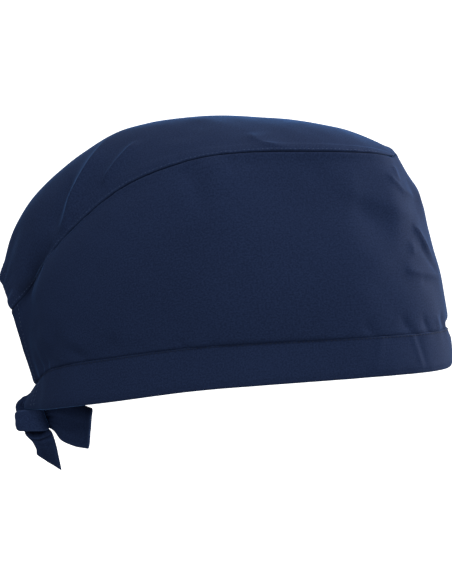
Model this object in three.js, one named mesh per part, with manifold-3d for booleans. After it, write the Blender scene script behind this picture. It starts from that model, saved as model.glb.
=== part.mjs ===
// A cloth scrub cap as it is worn: a side panel that runs round the front and both sides, a crown panel
// over the top, a folded band round the head opening, and two ties knotted behind under an open slit.
// Millimetres. +X is the wearer's front, +Y the wearer's left, +Z up.
// The origin is the centre of the head opening.

import * as THREE from "three";
import { mergeVertices } from "three/addons/utils/BufferGeometryUtils.js";
import Module from "manifold-3d";

const wasm = await Module();
wasm.setup();

// Sizes of the whole cap
const OPENING_LENGTH = 208; // over the band, forehead to nape
const OPENING_WIDTH = 162; // over the band, side to side
const CROWN_WIDTH = 114; // between the two long seams, at the widest
const CAP_HEIGHT = 130.5; // top of the crown above the origin
const BAND_HEIGHT = 21; // of the folded band, the unit of its height in the table of stations

// Cloth
const CLOTH = 1.2; // wall of the panels
const BAND_CLOTH = 2; // folded band, two layers and the turned edge
const HEM_CLOTH = 2.2; // wall of a panel where its rear edge is turned under
const HEM_WIDTH = 9;
const BAND_LEAN = 1.6; // the band's top is this much nearer the head than its rim
const SEAM_GAP = 0.3; // clear space between two pieces that are sewn together
const BULGE = 12; // how far the side panel swells out past a straight wall, at the widest
const BULGE_HIGH = 1.25; // share of the swell near the seam, with the rest near the band

// Ties
const TIE_WIDTH = 20;
const TIE_CLOTH = 1.8;
const KNOT_BEHIND = 4.3; // knot centre behind half OPENING_LENGTH
const KNOT_RIGHT = 7; // and towards the wearer's right
const KNOT_DROP = 21.5; // and under the origin
const ROOT = 2; // length in which a tie still follows the band
const LOOP_HEIGHT = 12; // of the loop that the left tie makes round the right tie
const LOOP_CLOTH = 2.6;
const LOOP_CLEAR = 0.4; // between the loop and the tie that runs through it

// One row for each station, from the centre front round one side to the rear slit.
// rim: the band's lower edge, x of half OPENING_LENGTH, y of half OPENING_WIDTH, z of CAP_HEIGHT.
// band: the band's height, of BAND_HEIGHT. seam: the crown seam, y of half CROWN_WIDTH.
// crest: the crown's centre line at the same station. bulge: of BULGE.
const STATIONS = [
  { rim: [1.0, 0.0, 0.067], band: 0.9, seam: [0.743, 0.0, 0.853], crest: [0.743, 0.853], bulge: 0.37 },
  { rim: [0.94, 0.342, 0.069], band: 0.883, seam: [0.691, 0.342, 0.87], crest: [0.66, 0.895], bulge: 0.45 },
  { rim: [0.707, 0.707, 0.064], band: 0.898, seam: [0.491, 0.707, 0.879], crest: [0.46, 0.955], bulge: 0.66 },
  { rim: [0.342, 0.94, 0.045], band: 0.938, seam: [0.164, 0.946, 0.875], crest: [0.12, 0.992], bulge: 1.0 },
  { rim: [0.0, 1.0, 0.018], band: 0.969, seam: [-0.115, 1.0, 0.837], crest: [-0.24, 0.994], bulge: 1.0 },
  { rim: [-0.423, 0.906, -0.037], band: 0.981, seam: [-0.449, 0.958, 0.725], crest: [-0.649, 0.924], bulge: 0.85 },
  { rim: [-0.79, 0.643, -0.088], band: 0.92, seam: [-0.785, 0.826, 0.503], crest: [-1.045, 0.682], bulge: 0.6 },
  { rim: [-1.005, 0.222, -0.128], band: 0.62, seam: [-1.046, 0.614, 0.268], crest: [-1.215, 0.39], bulge: 0.04 },
];

// Ridges and dents of the worn cloth. side: -1 right, 1 left. from and to: first how far round the cap,
// 0 at the front and 1 at the rear edge. Second, on the side panel how far up, 0 at the band and 1 at the
// seam, and on the crown how far from the centre line, 1 at the seam. rise: outward in mm, inward if
// negative. half: half width in mm. bow: how far in mm the middle stands off the straight line.
const FOLDS = [
  { piece: "crown", side: -1, from: [0.712, 0.14], to: [0.845, 0.95], bow: -10, rise: 2.4, half: 7 },
  { piece: "crown", side: -1, from: [0.655, 0.55], to: [0.735, 0.9], bow: -2, rise: 1.2, half: 6 },
  { piece: "crown", side: -1, from: [0.885, 0.93], to: [0.955, 0.86], bow: 0, rise: -1.8, half: 6 },
  { piece: "crown", side: -1, from: [0.43, 0.62], to: [0.34, 0.95], bow: 0, rise: 1.0, half: 8 },
  { piece: "crown", side: 1, from: [0.72, 0.4], to: [0.86, 0.93], bow: -6, rise: 1.8, half: 9 },
  { piece: "side", side: -1, from: [0.085, 0.62], to: [0.01, 0.4], bow: 0, rise: 2.0, half: 6 },
  { piece: "side", side: -1, from: [0.15, 0.345], to: [0.02, 0.31], bow: 0, rise: 1.2, half: 6 },
  { piece: "side", side: -1, from: [0.12, 0.9], to: [0.03, 0.78], bow: 2, rise: 1.3, half: 6 },
  { piece: "side", side: -1, from: [0.27, 0.86], to: [0.1, 0.67], bow: 2, rise: 1.2, half: 9 },
  { piece: "side", side: -1, from: [0.57, 0.95], to: [0.52, 0.7], bow: 0, rise: -1.4, half: 7 },
  { piece: "side", side: -1, from: [0.74, 0.03], to: [0.68, 0.16], bow: 0, rise: -1.3, half: 7 },
  { piece: "side", side: -1, from: [0.89, 0.04], to: [0.81, 0.3], bow: 2, rise: -2.0, half: 8 },
  { piece: "side", side: 1, from: [0.16, 0.55], to: [0.05, 0.36], bow: 0, rise: 1.4, half: 8 },
  { piece: "side", side: 1, from: [0.52, 0.95], to: [0.47, 0.72], bow: 0, rise: -1.1, half: 8 },
  { piece: "side", side: 1, from: [0.86, 0.05], to: [0.82, 0.3], bow: 0, rise: -1.5, half: 9 },
];

// Each tie's centre line after its root at the band's rear end. at: from the knot's centre, of TIE_WIDTH.
// across: the way the strip's width points. width: of TIE_WIDTH. thick: of TIE_CLOTH.
const RIGHT_TIE = [
  { at: [0.02, -0.3, 0.56], across: [0.4, 0.1, 0.9], width: 0.56, thick: 1.2 },
  { at: [-0.2, -0.08, 0.46], across: [0.8, 0.35, 0.5], width: 0.5, thick: 2 },
  { at: [0, 0, 0], across: [0.92, 0.38, 0.1], width: 0.5, thick: 3.2 },
  { at: [0.12, 0, -0.42], across: [0.8, 0.6, 0.1], width: 0.56, thick: 1.6 },
  { at: [0.22, -0.03, -0.78], across: [0.62, 0.78, 0.1], width: 0.9, thick: 1 },
  { at: [0.38, -0.08, -1.14], across: [0.5, 0.86, -0.25], width: 1, thick: 1 },
];
const LEFT_TIE = [
  { at: [0.0, 0.78, 0.4], across: [0, 0, 1], width: 0.52, thick: 1.3 },
  { at: [-0.03, 0.2, 0.04], across: [0, 0, 1], width: 0.42, thick: 1.6 },
];
const LEFT_TIE_END = [
  { at: [0.2, -0.14, -0.03], across: [0, 0, 1], width: 0.42, thick: 1.6 },
  { at: [0.75, -0.5, -0.1], across: [0.05, 0, 1], width: 0.62, thick: 1.1 },
  { at: [1.3, -0.85, -0.11], across: [0.05, 0, 1], width: 0.9, thick: 1 },
  { at: [1.95, -1.28, -0.1], across: [0, 0, 1], width: 1, thick: 1 },
];

// Section of the loop's wall. out: from its inner face, of LOOP_CLOTH. up: of half LOOP_HEIGHT.
const LOOP_WALL = [
  { out: 0, up: -0.85 },
  { out: 0.5, up: -1 },
  { out: 0.95, up: -0.65 },
  { out: 1.1, up: 0 },
  { out: 0.95, up: 0.65 },
  { out: 0.5, up: 1 },
  { out: 0, up: 0.85 },
];

// Mesh density
const AROUND = 72; // columns of the side panel and the band
const UP = 9; // rows of the side panel
const CROWN_COLUMNS = 16;
const STRAP_COLUMNS = 6;
const STRAP_STEPS = 5; // between two rows of a tie's table
const LOOP_SIDES = 24;

const HALF_LENGTH = OPENING_LENGTH / 2;
const HALF_WIDTH = OPENING_WIDTH / 2;
const NAVY = 0x1f2b47;

const vec = (x, y, z) => new THREE.Vector3(x, y, z);
const mix = (a, b, share) => a.clone().lerp(b, share);

// A smooth curve through one point for each station, from the left rear edge round the front to the right one.
// The front station lies on the centre plane and is used once.
function roundCurve(pointOf) {
  const right = STATIONS.map(pointOf);
  const left = right.slice(1).map((p) => vec(p.x, -p.y, p.z));
  return new THREE.CatmullRomCurve3([...left.reverse(), ...right], false, "catmullrom", 0.5);
}

// t runs from -1 at the right rear edge through 0 at the front to 1 at the left rear edge.
const onCurve = (curve, t) => curve.getPoint((1 - t) / 2);

const rimPoint = (s) => vec(s.rim[0] * HALF_LENGTH, -s.rim[1] * HALF_WIDTH, s.rim[2] * CAP_HEIGHT);
const rimCurve = roundCurve(rimPoint);
const bandTopCurve = roundCurve((s) => {
  const inward = vec(-s.rim[0], s.rim[1], 0).normalize().multiplyScalar(BAND_LEAN);
  return rimPoint(s).add(inward).add(vec(0, 0, s.band * BAND_HEIGHT));
});
const seamCurve = roundCurve((s) => {
  return vec(s.seam[0] * HALF_LENGTH, (-s.seam[1] * CROWN_WIDTH) / 2, s.seam[2] * CAP_HEIGHT);
});
const crestCurve = roundCurve((s) => vec(s.crest[0] * HALF_LENGTH, 0, s.crest[1] * CAP_HEIGHT));
const bulgeCurve = roundCurve((s) => vec(s.bulge * BULGE, 0, 0));

const STEP = 1e-3; // of t, for slopes taken by difference
const SAME = 1e-3; // mm, points nearer than this are one point
const MIDWAY = 0.75; // of the way that a cubic's middle follows both its handles
const TIP = 0.08; // the crown's slope at its front tip is taken this far back
const SEAM_HOLD = 8; // power of q, so that the crown's folds die out only next to its seam
const EDGE_THIN = 0.6; // share of a gathered strip's thickness that its long edges lose

function slope(curve, t) {
  const a = onCurve(curve, Math.min(1, t + STEP));
  const b = onCurve(curve, Math.max(-1, t - STEP));
  return a.sub(b).normalize();
}

// Points away from the head, level, at the band.
function outwardAt(t) {
  const along = slope(rimCurve, t);
  return vec(along.y, -along.x, 0).normalize();
}

const HALF_SEAM = seamCurve.getLength() / 2;
const SIDE_HEIGHT = onCurve(seamCurve, 0.5).distanceTo(onCurve(bandTopCurve, 0.5));
const FOLD_SPAN = { side: [HALF_SEAM, SIDE_HEIGHT], crown: [HALF_SEAM, CROWN_WIDTH / 2] };

// How far the folds move a point of a piece out along its normal. round and up are as in the table.
function foldRise(piece, side, round, up) {
  const place = ([a, b]) => new THREE.Vector2(a * FOLD_SPAN[piece][0], b * FOLD_SPAN[piece][1]);
  let rise = 0;
  for (const fold of FOLDS) {
    if (fold.piece !== piece || fold.side !== side) continue;
    const chord = place(fold.to).sub(place(fold.from));
    const length = chord.length();
    chord.normalize();
    const here = place([round, up]).sub(place(fold.from));
    const along = here.dot(chord);
    const share = THREE.MathUtils.clamp(along / length, 0, 1);
    const off = here.cross(chord) - fold.bow * 4 * share * (1 - share);
    const past = along - share * length;
    rise += fold.rise * Math.exp(-(off * off + past * past) / (fold.half * fold.half));
  }
  return rise;
}

// The side panel between the band's top, s = 0, and the crown seam, s = 1.
function sideBase(t, s) {
  const foot = onCurve(bandTopCurve, t);
  const head = onCurve(seamCurve, t);
  const out = outwardAt(t);
  const swell = onCurve(bulgeCurve, t).x / MIDWAY;
  const low = mix(foot, head, 1 / 3).addScaledVector(out, swell * (2 - BULGE_HIGH));
  const high = mix(foot, head, 2 / 3).addScaledVector(out, swell * BULGE_HIGH);
  return new THREE.CubicBezierCurve3(foot, low, high, head).getPoint(s);
}

// The crown panel. t runs from 0 at the front tip to 1 at the rear edge.
// q runs from -1 at the right seam to 1 at the left one.
function crownBase(t, q) {
  const seam = onCurve(seamCurve, t);
  const crest = onCurve(crestCurve, t);
  const lift = 1 - q * q;
  return vec(
    THREE.MathUtils.lerp(seam.x, crest.x, lift),
    Math.abs(seam.y) * q,
    THREE.MathUtils.lerp(seam.z, crest.z, lift),
  );
}

// The unit normal of a surface given by two numbers, by differences inside the range.
function normalOf(surface, a, b, low, high) {
  const a0 = Math.max(low[0], a - STEP);
  const a1 = Math.min(high[0], a + STEP);
  const b0 = Math.max(low[1], b - STEP);
  const b1 = Math.min(high[1], b + STEP);
  const du = surface(a1, b).sub(surface(a0, b));
  const dv = surface(a, b1).sub(surface(a, b0));
  return du.cross(dv).normalize();
}

const sideNormal = (t, s) => normalOf(sideBase, t, s, [-1, 0], [1, 1]);

// Points out of the cap where the two panels are sewn together, midway between their faces.
function seamNormal(t) {
  const here = onCurve(seamCurve, t);
  const along = slope(seamCurve, t);
  const towards = onCurve(crestCurve, Math.max(TIP, Math.abs(t))).sub(here);
  const crownSide = along.clone().cross(towards).normalize();
  return crownSide.add(sideNormal(t, 1)).normalize();
}

// The direction along the cloth from the seam into the crown panel.
const intoCrown = (t) => slope(seamCurve, t).cross(seamNormal(t)).negate().normalize();

// A closed wall between an outer and an inner grid of points. Both grids are lists of rows of equal length.
function wallGeometry(outer, inner) {
  const corners = [];
  const face = (...points) => {
    for (let i = 1; i + 1 < points.length; i++) {
      const three = [points[0], points[i], points[i + 1]];
      const flat = three.some((p, k) => p.distanceTo(three[(k + 1) % 3]) < SAME);
      if (!flat) corners.push(...three);
    }
  };
  const rows = outer.length;
  const columns = outer[0].length;
  for (let r = 0; r + 1 < rows; r++) {
    for (let c = 0; c + 1 < columns; c++) {
      face(outer[r][c], outer[r][c + 1], outer[r + 1][c + 1], outer[r + 1][c]);
      face(inner[r][c], inner[r + 1][c], inner[r + 1][c + 1], inner[r][c + 1]);
    }
    face(outer[r][0], outer[r + 1][0], inner[r + 1][0], inner[r][0]);
    face(outer[r][columns - 1], inner[r][columns - 1], inner[r + 1][columns - 1], outer[r + 1][columns - 1]);
  }
  for (let c = 0; c + 1 < columns; c++) {
    face(outer[0][c], inner[0][c], inner[0][c + 1], outer[0][c + 1]);
    face(outer[rows - 1][c], outer[rows - 1][c + 1], inner[rows - 1][c + 1], inner[rows - 1][c]);
  }
  return new THREE.BufferGeometry().setFromPoints(corners);
}

// Even steps from low to high.
function steps(low, high, count) {
  return Array.from({ length: count + 1 }, (_, i) => low + ((high - low) * i) / count);
}

// Stations of t for every piece that runs along the seam, with one on the inner line of each rear hem.
const HEM_LINE = 1 - HEM_WIDTH / HALF_SEAM;
const columnsOfT = () => [-1, ...steps(-HEM_LINE, HEM_LINE, AROUND - 2), 1];
const panelWall = (t) => (Math.abs(t) > HEM_LINE - STEP ? HEM_CLOTH : CLOTH);

function sidePanelGeometry() {
  const columns = columnsOfT();
  const outer = [];
  const inner = [];
  for (const s of steps(0, 1, UP)) {
    const outerRow = [];
    const innerRow = [];
    for (const t of columns) {
      const atSeam = s === 1;
      const normal = atSeam ? seamNormal(t) : sideNormal(t, s);
      const point = sideBase(t, s);
      const hold = Math.sqrt(Math.max(0, Math.sin(Math.PI * s))); // none at the band and at the seam
      point.addScaledVector(normal, foldRise("side", Math.sign(t), Math.abs(t), s) * hold);
      if (atSeam) point.addScaledVector(intoCrown(t), -SEAM_GAP / 2);
      if (s === 0) point.z += SEAM_GAP;
      outerRow.push(point);
      const direction = s === 0 ? outwardAt(t) : normal;
      innerRow.push(point.clone().addScaledVector(direction, -panelWall(t)));
    }
    outer.push(outerRow);
    inner.push(innerRow);
  }
  return wallGeometry(outer, inner);
}

function crownPanelGeometry() {
  const outer = [];
  const inner = [];
  for (const t of columnsOfT().filter((value) => value > -STEP)) {
    const outerRow = [];
    const innerRow = [];
    for (const q of steps(-1, 1, CROWN_COLUMNS)) {
      const atSeam = Math.abs(q) === 1 || t < STEP;
      const point = crownBase(t, q);
      const normal = atSeam ? seamNormal(t * q) : normalOf(crownBase, t, q, [0, -1], [1, 1]).negate();
      const hold = 1 - q ** SEAM_HOLD;
      point.addScaledVector(normal, foldRise("crown", Math.sign(q), t, Math.abs(q)) * hold);
      if (atSeam) point.addScaledVector(intoCrown(t * q), SEAM_GAP / 2);
      outerRow.push(point);
      innerRow.push(point.clone().addScaledVector(normal, -panelWall(t)));
    }
    outer.push(outerRow);
    inner.push(innerRow);
  }
  return wallGeometry(outer, inner);
}

function bandGeometry() {
  const outer = [];
  const inner = [];
  for (const s of steps(0, 1, 2)) {
    const outerRow = [];
    const innerRow = [];
    for (const t of columnsOfT()) {
      const point = mix(onCurve(rimCurve, t), onCurve(bandTopCurve, t), s);
      outerRow.push(point);
      innerRow.push(point.clone().addScaledVector(outwardAt(t), -BAND_CLOTH));
    }
    outer.push(outerRow);
    inner.push(innerRow);
  }
  return wallGeometry(outer, inner);
}

const KNOT = vec(-HALF_LENGTH - KNOT_BEHIND, -KNOT_RIGHT, -KNOT_DROP);

// Sections of a strip, in mm, from a table's rows.
const sectionsOf = (rows) =>
  rows.map((row) => ({
    centre: vec(...row.at).multiplyScalar(TIE_WIDTH).add(KNOT),
    across: vec(...row.across).normalize(),
    width: row.width * TIE_WIDTH,
    thick: row.thick * TIE_CLOTH,
  }));

// The two sections of a tie next to the band. side: -1 right, 1 left.
function rootSections(side) {
  const foot = onCurve(rimCurve, side);
  const head = onCurve(bandTopCurve, side);
  const onward = slope(rimCurve, side).multiplyScalar(side);
  const middle = mix(foot, head, 0.5).addScaledVector(outwardAt(side), -BAND_CLOTH / 2);
  const across = head.clone().sub(foot).normalize();
  const width = head.distanceTo(foot);
  return [SEAM_GAP, SEAM_GAP + ROOT].map((gap) => ({
    centre: middle.clone().addScaledVector(onward, gap),
    across,
    width,
    thick: TIE_CLOTH,
  }));
}

const pathOf = (sections) => new THREE.CatmullRomCurve3(sections.map((s) => s.centre), false, "centripetal");

// A strip of cloth through its sections, thinner towards its long edges where it is gathered.
// grow is added all round.
function strapGeometry(sections, grow = 0) {
  const smooth = (points) => new THREE.CatmullRomCurve3(points, false, "centripetal");
  const path = pathOf(sections);
  const across = smooth(sections.map((s) => s.across));
  const size = smooth(sections.map((s) => vec(s.width, s.thick, 0)));
  const outer = [];
  const inner = [];
  for (const u of steps(0, 1, (sections.length - 1) * STRAP_STEPS)) {
    const centre = path.getPoint(u);
    const width = across.getPoint(u);
    const face = width.clone().cross(path.getTangent(u)).normalize();
    const { x: wide, y: thick } = size.getPoint(u);
    const gathered = Math.min(1, thick / TIE_CLOTH - 1);
    const row = steps(-1, 1, STRAP_COLUMNS).map((q) => ({
      point: centre.clone().addScaledVector(width, q * (wide / 2 + grow)),
      half: (thick / 2) * (1 - EDGE_THIN * gathered * q * q) + grow,
    }));
    outer.push(row.map(({ point, half }) => point.clone().addScaledVector(face, half)));
    inner.push(row.map(({ point, half }) => point.clone().addScaledVector(face, -half)));
  }
  return wallGeometry(outer, inner);
}

const RIGHT_SECTIONS = [...rootSections(-1), ...sectionsOf(RIGHT_TIE)];

// A closed ring round an ellipse, in its own frame: axis along Y, the ellipse's long half along X.
function ringGeometry(longHalf, shortHalf, section) {
  const points = [...section, section[0]].map(
    ({ out, up }) => new THREE.Vector2(longHalf + out * LOOP_CLOTH, (up * LOOP_HEIGHT) / 2),
  );
  const ring = new THREE.LatheGeometry(points, LOOP_SIDES);
  const position = ring.getAttribute("position");
  for (let i = 0; i < position.count; i++) {
    const radius = Math.hypot(position.getX(i), position.getZ(i));
    const wall = radius - longHalf;
    position.setX(i, (position.getX(i) / radius) * (longHalf + wall));
    position.setZ(i, (position.getZ(i) / radius) * (shortHalf + wall));
  }
  return ring;
}

function solidOf(geometry) {
  const bare = new THREE.BufferGeometry().setAttribute("position", geometry.getAttribute("position"));
  bare.setIndex(geometry.getIndex());
  const merged = mergeVertices(bare, SAME);
  const mesh = new wasm.Mesh({
    numProp: 3,
    vertProperties: new Float32Array(merged.getAttribute("position").array),
    triVerts: new Uint32Array(merged.getIndex().array),
  });
  return new wasm.Manifold(mesh);
}

function geometryOf(solid) {
  const { vertProperties, triVerts } = solid.getMesh();
  const geometry = new THREE.BufferGeometry();
  geometry.setAttribute("position", new THREE.BufferAttribute(vertProperties, 3));
  geometry.setIndex(new THREE.BufferAttribute(triVerts, 1));
  return geometry;
}

// The left tie in one piece: its root, the loop round the right tie, and its loose end.
function leftTieGeometry() {
  const index = RIGHT_SECTIONS.findIndex((s) => s.centre.distanceTo(KNOT) < STEP);
  const held = RIGHT_SECTIONS[index];
  const axis = pathOf(RIGHT_SECTIONS).getTangent(index / (RIGHT_SECTIONS.length - 1)).negate();
  const through = held.across.clone().cross(axis).normalize();
  const across = axis.clone().cross(through);
  const place = new THREE.Matrix4().makeBasis(across, axis, through).setPosition(KNOT);
  const longHalf = held.width / 2 + LOOP_CLEAR;
  const shortHalf = held.thick / 2 + LOOP_CLEAR;
  const ring = ringGeometry(longHalf, shortHalf, LOOP_WALL).applyMatrix4(place);
  const bore = new THREE.CylinderGeometry(1, 1, LOOP_HEIGHT, LOOP_SIDES);
  bore.scale(longHalf, 1, shortHalf).applyMatrix4(place);
  const clear = solidOf(bore).add(solidOf(strapGeometry(RIGHT_SECTIONS, LOOP_CLEAR)));
  const root = solidOf(strapGeometry([...rootSections(1), ...sectionsOf(LEFT_TIE)]));
  const end = solidOf(strapGeometry(sectionsOf(LEFT_TIE_END)));
  return geometryOf(solidOf(ring).add(root).add(end).subtract(clear));
}

function piece(name, geometry) {
  const material = new THREE.MeshStandardMaterial({ color: NAVY, roughness: 0.82, metalness: 0 });
  const mesh = new THREE.Mesh(geometry, material);
  mesh.name = name;
  return mesh;
}

const cap = new THREE.Group();
cap.name = "scrub_cap";
cap.add(piece("side_panel", sidePanelGeometry()));
cap.add(piece("crown_panel", crownPanelGeometry()));
cap.add(piece("band", bandGeometry()));
cap.add(piece("tie_right", strapGeometry(RIGHT_SECTIONS)));
cap.add(piece("tie_left", leftTieGeometry()));

export default cap;
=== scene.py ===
import math

import bpy
import numpy as np
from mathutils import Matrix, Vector


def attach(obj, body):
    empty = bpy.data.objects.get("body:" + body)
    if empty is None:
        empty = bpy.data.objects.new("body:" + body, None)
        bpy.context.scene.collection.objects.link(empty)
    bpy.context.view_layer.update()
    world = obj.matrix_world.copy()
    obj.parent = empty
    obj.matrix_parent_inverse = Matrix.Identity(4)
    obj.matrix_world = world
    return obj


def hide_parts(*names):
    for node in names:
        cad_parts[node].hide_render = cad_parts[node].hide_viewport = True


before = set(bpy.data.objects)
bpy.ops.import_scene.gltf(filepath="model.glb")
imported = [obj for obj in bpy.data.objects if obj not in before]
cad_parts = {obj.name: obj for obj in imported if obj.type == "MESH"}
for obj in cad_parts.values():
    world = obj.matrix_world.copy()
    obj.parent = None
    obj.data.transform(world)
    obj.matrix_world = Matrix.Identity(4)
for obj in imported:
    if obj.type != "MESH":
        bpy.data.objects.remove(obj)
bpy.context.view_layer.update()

# Looks of the scrub cap. Lengths in this file are in millimetres until a mesh is made, and MM turns them to metres.
MM = 0.001

# The cap's form, as in the part's source.
HALF_LENGTH, HALF_WIDTH, HALF_CROWN, CAP_HEIGHT = 104.0, 81.0, 57.0, 130.5
BAND_HEIGHT, BAND_LEAN, BULGE, BULGE_HIGH, MIDWAY = 21.0, 1.6, 12.0, 1.25, 0.75
# One row for each station from the centre front round one side to the rear slit: the rim, the band's height,
# the crown seam, the crown's centre line and the side panel's swell.
STATIONS = np.array(
    [
        # rim x, y, z, band, seam x, y, z, crest x, z, swell
        [1.0, 0.0, 0.067, 0.9, 0.743, 0.0, 0.853, 0.743, 0.853, 0.37],
        [0.94, 0.342, 0.069, 0.883, 0.691, 0.342, 0.87, 0.66, 0.895, 0.45],
        [0.707, 0.707, 0.064, 0.898, 0.491, 0.707, 0.879, 0.46, 0.955, 0.66],
        [0.342, 0.94, 0.045, 0.938, 0.164, 0.946, 0.875, 0.12, 0.992, 1.0],
        [0.0, 1.0, 0.018, 0.969, -0.115, 1.0, 0.837, -0.24, 0.994, 1.0],
        [-0.423, 0.906, -0.037, 0.981, -0.449, 0.958, 0.725, -0.649, 0.924, 0.85],
        [-0.79, 0.643, -0.088, 0.92, -0.785, 0.826, 0.503, -1.045, 0.682, 0.6],
        [-1.005, 0.222, -0.128, 0.62, -1.046, 0.614, 0.268, -1.215, 0.39, 0.04],
    ]
)


def unit(v):
    return v / np.maximum(np.linalg.norm(v, axis=-1), 1e-12)[..., None]


def span(p, i, w):
    """The curve's place at the share w of its stretch from the point i + 1 of p to the point i + 2."""
    a, b, c, d = p[i], p[i + 1], p[i + 2], p[i + 3]
    m0, m1 = 0.5 * (c - a), 0.5 * (d - b)
    return b + m0 * w + (3 * (c - b) - 2 * m0 - m1) * w**2 + (2 * (b - c) + m0 + m1) * w**3


def catmull(points, u):
    """A uniform Catmull-Rom curve through points, at u from 0 to 1."""
    p = np.vstack([2 * points[0] - points[1], points, 2 * points[-1] - points[-2]])
    n = len(points) - 1
    x = np.clip(np.asarray(u, float), 0, 1) * n
    i = np.minimum(x.astype(int), n - 1)
    return span(p, i, (x - i)[..., None])


def turned_to(v, toward):
    """v, turned round wherever it points away from toward."""
    return v * np.where((v * toward).sum(-1, keepdims=True) < 0, -1, 1)


def both_sides(right):
    left = right[1:][::-1] * np.array([1.0, -1.0, 1.0])
    return np.vstack([left, right])


def make_curves():
    s = STATIONS
    rim = s[:, 0:3] * [HALF_LENGTH, -HALF_WIDTH, CAP_HEIGHT]
    inward = unit(s[:, 0:3] * [-1, 1, 0])
    zero = 0 * s[:, 0]
    band = rim + inward * BAND_LEAN + np.stack([zero, zero, s[:, 3] * BAND_HEIGHT], 1)
    seam = s[:, 4:7] * [HALF_LENGTH, -HALF_CROWN, CAP_HEIGHT]
    seam[:2, 0] -= [1.3, 1.5]
    crest = np.stack([s[:, 7] * HALF_LENGTH, zero, s[:, 8] * CAP_HEIGHT], 1)
    crest[0, 0] -= 1.1
    swell = np.stack([s[:, 9] * BULGE, zero, zero], 1)
    named = {"rim": rim, "band": band, "seam": seam, "crest": crest, "swell": swell}
    return {name: both_sides(points) for name, points in named.items()}


CURVES = make_curves()


def at(curve, t):
    """t runs from -1 at the right rear edge through 0 at the front to 1 at the left rear edge."""
    t = np.asarray(t, float)
    place = catmull(CURVES[curve], (1 - t) / 2)
    if curve == "seam":
        # Near the rear corners the seam hooks down before it turns back.
        hook = np.exp(-(((np.abs(t) - 0.93) / 0.045) ** 2))
        place = place + hook[..., None] * np.array([1.2, 0.0, -2.2])
    return place


def tangent(curve, t, h=1e-3):
    t = np.asarray(t, float)
    return unit(at(curve, np.minimum(t + h, 1)) - at(curve, np.maximum(t - h, -1)))


def outward(t):
    along = tangent("rim", t)
    return unit(np.stack([along[..., 1], -along[..., 0], 0 * along[..., 0]], -1))


def side_base(t, s):
    foot, head, out = at("band", t), at("seam", t), outward(t)
    swell = at("swell", t)[..., :1] / MIDWAY
    low = foot + (head - foot) / 3 + out * swell * (2 - BULGE_HIGH)
    high = foot + (head - foot) * 2 / 3 + out * swell * BULGE_HIGH
    s = np.asarray(s, float)[..., None]
    return foot * (1 - s) ** 3 + 3 * low * s * (1 - s) ** 2 + 3 * high * s**2 * (1 - s) + head * s**3


def crown_base(t, q):
    seam, crest = at("seam", t), at("crest", t)
    lift = 1 - q * q
    x = seam[..., 0] + (crest[..., 0] - seam[..., 0]) * lift
    z = seam[..., 2] + (crest[..., 2] - seam[..., 2]) * lift
    return np.stack([x, np.abs(seam[..., 1]) * q, z], -1)


def lengths(points):
    """How far along a line of points each one of them is."""
    return np.concatenate([[0], np.cumsum(np.linalg.norm(np.diff(points, axis=0), axis=1))])


def arc_table(curve, count=4001):
    t = np.linspace(-1, 1, count)
    along = lengths(at(curve, t))
    return t, along - along[count // 2]


SEAM_T, SEAM_ARC = arc_table("seam")
RIM_T, RIM_ARC = arc_table("rim")


def seam_arc(t):
    """Millimetres along the crown seam from the centre front, positive to the wearer's left."""
    return np.interp(t, SEAM_T, SEAM_ARC)


def seam_t(arc):
    return np.interp(arc, SEAM_ARC, SEAM_T)


def rim_arc(t):
    """Millimetres along the rim from the centre front, positive to the wearer's left."""
    return np.interp(t, RIM_T, RIM_ARC)


def rim_t(arc):
    return np.interp(arc, RIM_ARC, RIM_T)


HALF_SEAM, HALF_RIM = SEAM_ARC[-1], RIM_ARC[-1]
SIDE_HEIGHT = float(np.linalg.norm(at("seam", 0.5) - at("band", 0.5)))

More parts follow.
